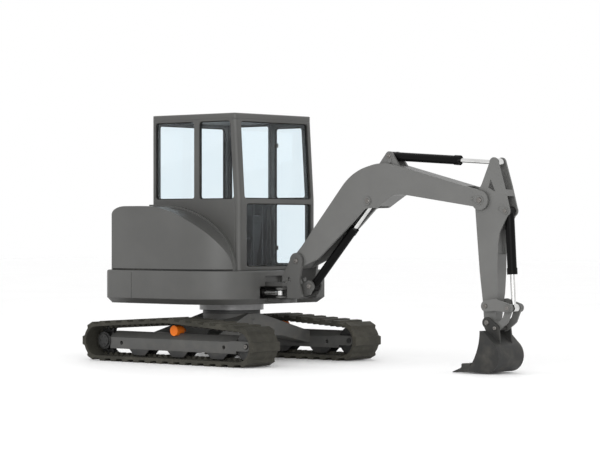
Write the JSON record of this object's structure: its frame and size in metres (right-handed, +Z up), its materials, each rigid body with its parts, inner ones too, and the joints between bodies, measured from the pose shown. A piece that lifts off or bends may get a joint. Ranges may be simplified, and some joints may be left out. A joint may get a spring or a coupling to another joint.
{
  "type": "mini excavator",
  "caption": "Compact tracked excavator with a glazed cab, swing boom, stick and toothed bucket worked by hydraulic cylinders on two rubber tracks.",
  "frame": {"origin": "on the ground, at the middle of the overall length and width", "axes": "+X forward to the bucket, +Y to the operator's left, +Z up"},
  "size_m": [4.727, 1.96, 2.493],
  "materials": {
    "dark_paint": "satin",
    "body_paint": "satin",
    "cab_paint": "satin",
    "arm_paint": "satin",
    "track_rubber": "matt",
    "dark_steel": "satin",
    "black_steel": "satin",
    "orange_paint": "satin",
    "ring_steel": "machined",
    "engine_iron": "cast",
    "window_glass": "clear",
    "black_plastic": "grained",
    "seat_fabric": "woven",
    "pin_steel": "machined",
    "cylinder_black": "gloss",
    "rod_chrome": "polished",
    "bucket_steel": "worn"
  },
  "bodies": {
    "undercarriage": {"car_body": "dark_paint", "track_frame_R": "body_paint", "track_frame_L": "body_paint", "track_R": "track_rubber", "track_L": "track_rubber", "sprockets": "dark_steel", "idlers": "dark_steel", "bottom_rollers": "black_steel", "carrier_rollers": "orange_paint", "slew_ring_lower": "ring_steel"},
    "house": {"slew_ring_upper": "ring_steel", "platform": "body_paint", "counterweight": "body_paint", "hood": "body_paint", "engine_block": "engine_iron", "cab_front": "cab_paint", "cab_right": "cab_paint", "cab_rear": "cab_paint", "cab_left": "cab_paint", "cab_roof": "cab_paint", "cab_glass": "window_glass", "seat_base": "black_plastic", "seat_cushions": "seat_fabric", "controls": "black_plastic", "swing_barrel": "cylinder_black"},
    "engine_lid": {"engine_door": "body_paint"},
    "cab_door": {"door": "cab_paint", "door_glass": "window_glass"},
    "swing_post": {"king_post": "body_paint", "king_pins": "pin_steel"},
    "swing_rod": {"swing_rod": "rod_chrome"},
    "boom": {"boom": "arm_paint", "boom_pins": "pin_steel"},
    "lift_barrel": {"lift_barrel": "cylinder_black"},
    "lift_rod": {"lift_rod": "rod_chrome"},
    "stick": {"stick": "arm_paint", "stick_pins": "pin_steel"},
    "crowd_barrel": {"crowd_barrel": "cylinder_black"},
    "crowd_rod": {"crowd_rod": "rod_chrome"},
    "curl_barrel": {"curl_barrel": "cylinder_black"},
    "curl_rod": {"curl_rod": "rod_chrome"},
    "rocker": {"rocker": "arm_paint"},
    "link": {"link": "arm_paint"},
    "bucket": {"bucket": "bucket_steel", "bucket_teeth": "bucket_steel"}
  },
  "joints": [
    {"name": "slew", "type": "hinge", "parent": "undercarriage", "child": "house", "pos_m": [-1.1975, 0, 0.53], "axis": [0, 0, 1], "continuous": true},
    {"name": "boom_swing", "type": "hinge", "parent": "house", "child": "swing_post", "pos_m": [-0.4375, 0, 0.7], "axis": [0, 0, 1], "range_deg": [-50, 75]},
    {"name": "swing_rod", "type": "slide", "parent": "house", "child": "swing_rod", "axis": [1, 0, 0], "range_m": [-0.1154, 0.1722]},
    {"name": "boom_lift", "type": "hinge", "parent": "swing_post", "child": "boom", "pos_m": [-0.2175, 0, 1.02], "axis": [0, -1, 0], "range_deg": [-55, 45]},
    {"name": "lift_barrel", "type": "hinge", "parent": "swing_post", "child": "lift_barrel", "pos_m": [-0.0975, 0, 0.77], "axis": [0, -1, 0], "range_deg": [-51.74, 42.42]},
    {"name": "lift_rod", "type": "slide", "parent": "lift_barrel", "child": "lift_rod", "axis": [0.6751, 0, 0.7377], "range_m": [-0.2363, 0.1937]},
    {"name": "stick_crowd", "type": "hinge", "parent": "boom", "child": "stick", "pos_m": [2.0025, 0, 1.603], "axis": [0, 1, 0], "range_deg": [-58, 44]},
    {"name": "crowd_barrel", "type": "hinge", "parent": "boom", "child": "crowd_barrel", "pos_m": [0.9105, 0, 2.035], "axis": [0, 1, 0], "range_deg": [-3.63, 2.83]},
    {"name": "crowd_rod", "type": "slide", "parent": "crowd_barrel", "child": "crowd_rod", "axis": [0.9977, 0, -0.0672], "range_m": [-0.343, 0.2607]},
    {"name": "bucket_curl", "type": "hinge", "parent": "stick", "child": "bucket", "pos_m": [2.0875, 0, 0.472], "axis": [0, 1, 0], "range_deg": [-45, 100]},
    {"name": "rocker", "type": "hinge", "parent": "stick", "child": "rocker", "pos_m": [2.0725, 0, 0.624], "axis": [0, 1, 0], "range_deg": [-17.71, 38.75]},
    {"name": "link", "type": "hinge", "parent": "bucket", "child": "link", "pos_m": [2.1825, 0, 0.422], "axis": [0, 1, 0], "range_deg": [-73.4, 33.3]},
    {"name": "curl_barrel", "type": "hinge", "parent": "stick", "child": "curl_barrel", "pos_m": [2.2725, 0, 1.504], "axis": [0, 1, 0], "range_deg": [-1.55, 3.08]},
    {"name": "curl_rod", "type": "slide", "parent": "curl_barrel", "child": "curl_rod", "axis": [0.057, 0, -0.9984], "range_m": [-0.0726, 0.1589]},
    {"name": "cab_door", "type": "hinge", "parent": "house", "child": "cab_door", "pos_m": [-1.2585, 0.729, 1.6], "axis": [0, 0, 1], "range_deg": [0, 150]},
    {"name": "engine_lid", "type": "hinge", "parent": "house", "child": "engine_lid", "pos_m": [-2.1685, 0.477, 1.2], "axis": [0, 0, -1], "range_deg": [0, 110]}
  ],
  "couplings": [
    {"joint": "swing_rod", "follows": "boom_swing", "m_per_rad": 0.13},
    {"joint": "lift_barrel", "follows": "boom_lift", "ratio": 0.9316},
    {"joint": "lift_rod", "follows": "boom_lift", "m_per_rad": 0.2441},
    {"joint": "crowd_barrel", "follows": "stick_crowd", "ratio": 0.0575},
    {"joint": "crowd_rod", "follows": "stick_crowd", "m_per_rad": 0.3369},
    {"joint": "rocker", "follows": "bucket_curl", "ratio": 0.3825},
    {"joint": "link", "follows": "bucket_curl", "ratio": -0.729},
    {"joint": "curl_barrel", "follows": "bucket_curl", "ratio": 0.0278},
    {"joint": "curl_rod", "follows": "bucket_curl", "m_per_rad": 0.0899}
  ]
}
